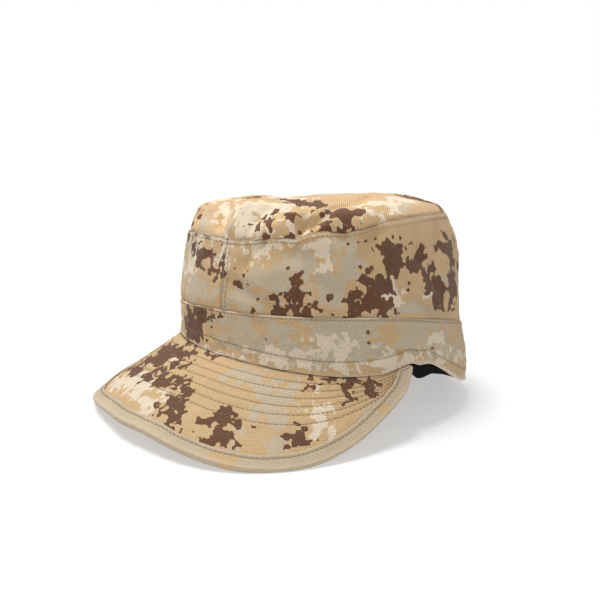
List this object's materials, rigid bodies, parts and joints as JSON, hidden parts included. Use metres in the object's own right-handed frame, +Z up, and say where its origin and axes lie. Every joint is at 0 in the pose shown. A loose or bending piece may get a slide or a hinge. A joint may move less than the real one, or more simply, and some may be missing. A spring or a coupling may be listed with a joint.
{
  "type": "military field cap",
  "caption": "Soft cloth field cap with a domed oval crown, a doubled head band raised in an arch behind the peak, and a stiff rolled peak with a taped edge.",
  "frame": {"origin": "middle of the bounding box in plan, on the surface the cap rests on", "axes": "+Z up, the peak points to -Y, the wearer's left is +X"},
  "size_m": [0.1872, 0.2634, 0.1327],
  "materials": {
    "crown_cloth": "matt printed cotton twill",
    "band_cloth": "matt printed cotton twill",
    "sweatband_cloth": "black woven cotton",
    "peak_cloth": "matt printed cotton twill over board",
    "binding_tape": "twill tape"
  },
  "bodies": {
    "root": {"crown_top": "crown_cloth", "crown_left": "crown_cloth", "crown_right": "crown_cloth", "band": "band_cloth", "sweatband": "sweatband_cloth", "peak": "peak_cloth", "peak_binding": "binding_tape"}
  },
  "joints": []
}
